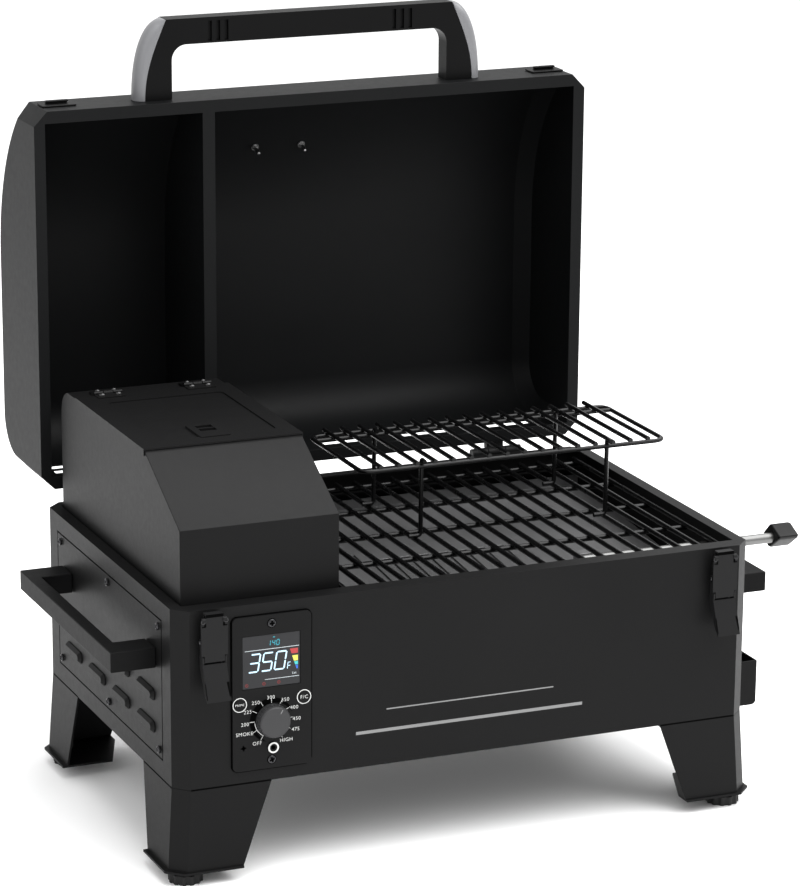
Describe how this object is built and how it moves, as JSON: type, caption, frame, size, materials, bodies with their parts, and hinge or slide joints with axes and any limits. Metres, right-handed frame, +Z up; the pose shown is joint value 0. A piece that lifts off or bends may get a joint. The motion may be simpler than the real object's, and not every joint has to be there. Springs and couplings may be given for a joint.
{
  "type": "pellet smoker grill",
  "caption": "Tabletop wood pellet smoker grill with open barrel lid, pellet hopper, control panel, wire grate, warming rack and side grips.",
  "frame": {"origin": "bottom centre of the bounding box with the lid open", "axes": "+X to the grill's right as seen from the front, +Y to the back, +Z up"},
  "size_m": [0.705, 0.5364, 0.7214],
  "materials": {
    "coat": "satin black powder coat",
    "lid_coat": "satin black powder coat",
    "plastic": "matt black moulded",
    "grey_trim": "satin grey",
    "screen": "smooth dark window",
    "stainless": "brushed",
    "bare_steel": "rolled sheet",
    "enamel": "black porcelain enamel",
    "cast": "rough cast",
    "rubber": "matt black"
  },
  "bodies": {
    "base": {"firebox_shell": "coat", "bottom_plate": "coat", "divider_wall": "coat", "access_panel": "coat", "carry_handle_left": "coat", "carry_handle_right": "coat", "hopper_shell": "coat", "hopper_hinge_left": "coat", "hopper_hinge_right": "coat", "leg_front_left": "coat", "leg_front_right": "coat", "leg_rear_left": "coat", "leg_rear_right": "coat", "lid_hinge_body_left": "coat", "lid_hinge_body_right": "coat", "latch_base_left": "coat", "latch_base_right": "coat", "control_plate": "plastic", "control_housing": "plastic", "probe_jack": "plastic", "fan_housing": "plastic", "power_inlet": "plastic", "display_module": "screen", "temperature_probe": "stainless", "pellet_bin": "bare_steel", "auger_tube": "bare_steel", "auger_motor": "bare_steel", "igniter": "bare_steel", "drip_plate": "bare_steel", "grease_drain": "bare_steel", "fire_pot": "cast"},
    "lid": {"lid_shell": "lid_coat", "lid_partition": "lid_coat", "lid_handle_bar": "plastic", "lid_handle_cap_left": "grey_trim", "lid_handle_cap_right": "grey_trim", "latch_keeper_left": "coat", "latch_keeper_right": "coat", "lid_hinge_leaf_left": "coat", "lid_hinge_leaf_right": "coat"},
    "hopper_hatch": {"hopper_lid": "coat"},
    "knob": {"temperature_knob": "plastic"},
    "prime_key": {"prime_button": "plastic"},
    "scale_key": {"scale_button": "plastic"},
    "broiler": {"broiler_slide": "bare_steel", "slide_rod": "stainless", "slide_knob": "plastic"},
    "grate": {"main_grate": "enamel"},
    "rack": {"upper_rack": "enamel"},
    "cup": {"grease_cup": "coat"},
    "lever_left": {"latch_lever_left": "coat"},
    "lever_right": {"latch_lever_right": "coat"},
    "hook_left": {"latch_hook_left": "coat"},
    "hook_right": {"latch_hook_right": "coat"},
    "feed_screw": {"auger": "bare_steel"},
    "impeller": {"fan_impeller": "plastic"},
    "foot_front_left": {"levelling_foot_front_left": "rubber"},
    "foot_front_right": {"levelling_foot_front_right": "rubber"},
    "foot_rear_left": {"levelling_foot_rear_left": "rubber"},
    "foot_rear_right": {"levelling_foot_rear_right": "rubber"}
  },
  "joints": [
    {"name": "lid_hinge", "type": "hinge", "parent": "base", "child": "lid", "pos_m": [-0.02105, 0.13615, 0.262], "axis": [-1, 0, 0], "range_deg": [-90, 0]},
    {"name": "hopper_lid_hinge", "type": "hinge", "parent": "base", "child": "hopper_hatch", "pos_m": [-0.21805, 0.06625, 0.3836], "axis": [-1, 0, 0], "range_deg": [0, 100]},
    {"name": "temperature_turn", "type": "hinge", "parent": "base", "child": "knob", "pos_m": [-0.21835, -0.24835, 0.1517], "axis": [0, 1, 0], "range_deg": [-180, 120]},
    {"name": "prime_press", "type": "slide", "parent": "base", "child": "prime_key", "axis": [0, 1, 0], "range_m": [0, 0.0015], "stiffness_N_per_m": 400},
    {"name": "scale_press", "type": "slide", "parent": "base", "child": "scale_key", "axis": [0, 1, 0], "range_m": [0, 0.0015], "stiffness_N_per_m": 400},
    {"name": "broiler_pull", "type": "slide", "parent": "base", "child": "broiler", "axis": [1, 0, 0], "range_m": [-0.03, 0]},
    {"name": "grate_lift", "type": "slide", "parent": "base", "child": "grate", "axis": [0, 0, 1], "range_m": [0, 0.15]},
    {"name": "rack_lift", "type": "slide", "parent": "grate", "child": "rack", "axis": [0, 0, 1], "range_m": [0, 0.1]},
    {"name": "cup_pull", "type": "slide", "parent": "base", "child": "cup", "axis": [1, 0, 0], "range_m": [0, 0.06]},
    {"name": "latch_lever_left", "type": "hinge", "parent": "base", "child": "lever_left", "pos_m": [-0.27555, -0.25185, 0.234], "axis": [-1, 0, 0], "range_deg": [0, 95]},
    {"name": "latch_hook_left", "type": "hinge", "parent": "lever_left", "child": "hook_left", "pos_m": [-0.27555, -0.25415, 0.2175], "axis": [-1, 0, 0], "range_deg": [-95, 0]},
    {"name": "latch_lever_right", "type": "hinge", "parent": "base", "child": "lever_right", "pos_m": [0.23345, -0.25185, 0.234], "axis": [-1, 0, 0], "range_deg": [0, 95]},
    {"name": "latch_hook_right", "type": "hinge", "parent": "lever_right", "child": "hook_right", "pos_m": [0.23345, -0.25415, 0.2175], "axis": [-1, 0, 0], "range_deg": [-95, 0]},
    {"name": "auger_spin", "type": "hinge", "parent": "base", "child": "feed_screw", "pos_m": [-0.11105, -0.05975, 0.1507], "axis": [1, 0, 0], "continuous": true},
    {"name": "fan_spin", "type": "hinge", "parent": "base", "child": "impeller", "pos_m": [-0.25705, 0.05825, 0.1387], "axis": [1, 0, 0], "continuous": true},
    {"name": "foot_turn_front_left", "type": "hinge", "parent": "base", "child": "foot_front_left", "pos_m": [-0.29505, -0.22775, 0.006], "axis": [0, 0, 1], "continuous": true},
    {"name": "foot_turn_front_right", "type": "hinge", "parent": "base", "child": "foot_front_right", "pos_m": [0.25295, -0.22775, 0.006], "axis": [0, 0, 1], "continuous": true},
    {"name": "foot_turn_rear_left", "type": "hinge", "parent": "base", "child": "foot_rear_left", "pos_m": [-0.29505, 0.10825, 0.006], "axis": [0, 0, 1], "continuous": true},
    {"name": "foot_turn_rear_right", "type": "hinge", "parent": "base", "child": "foot_rear_right", "pos_m": [0.25295, 0.10825, 0.006], "axis": [0, 0, 1], "continuous": true}
  ],
  "couplings": [
    {"joint": "latch_hook_left", "follows": "latch_lever_left", "ratio": -1},
    {"joint": "latch_hook_right", "follows": "latch_lever_right", "ratio": -1}
  ]
}
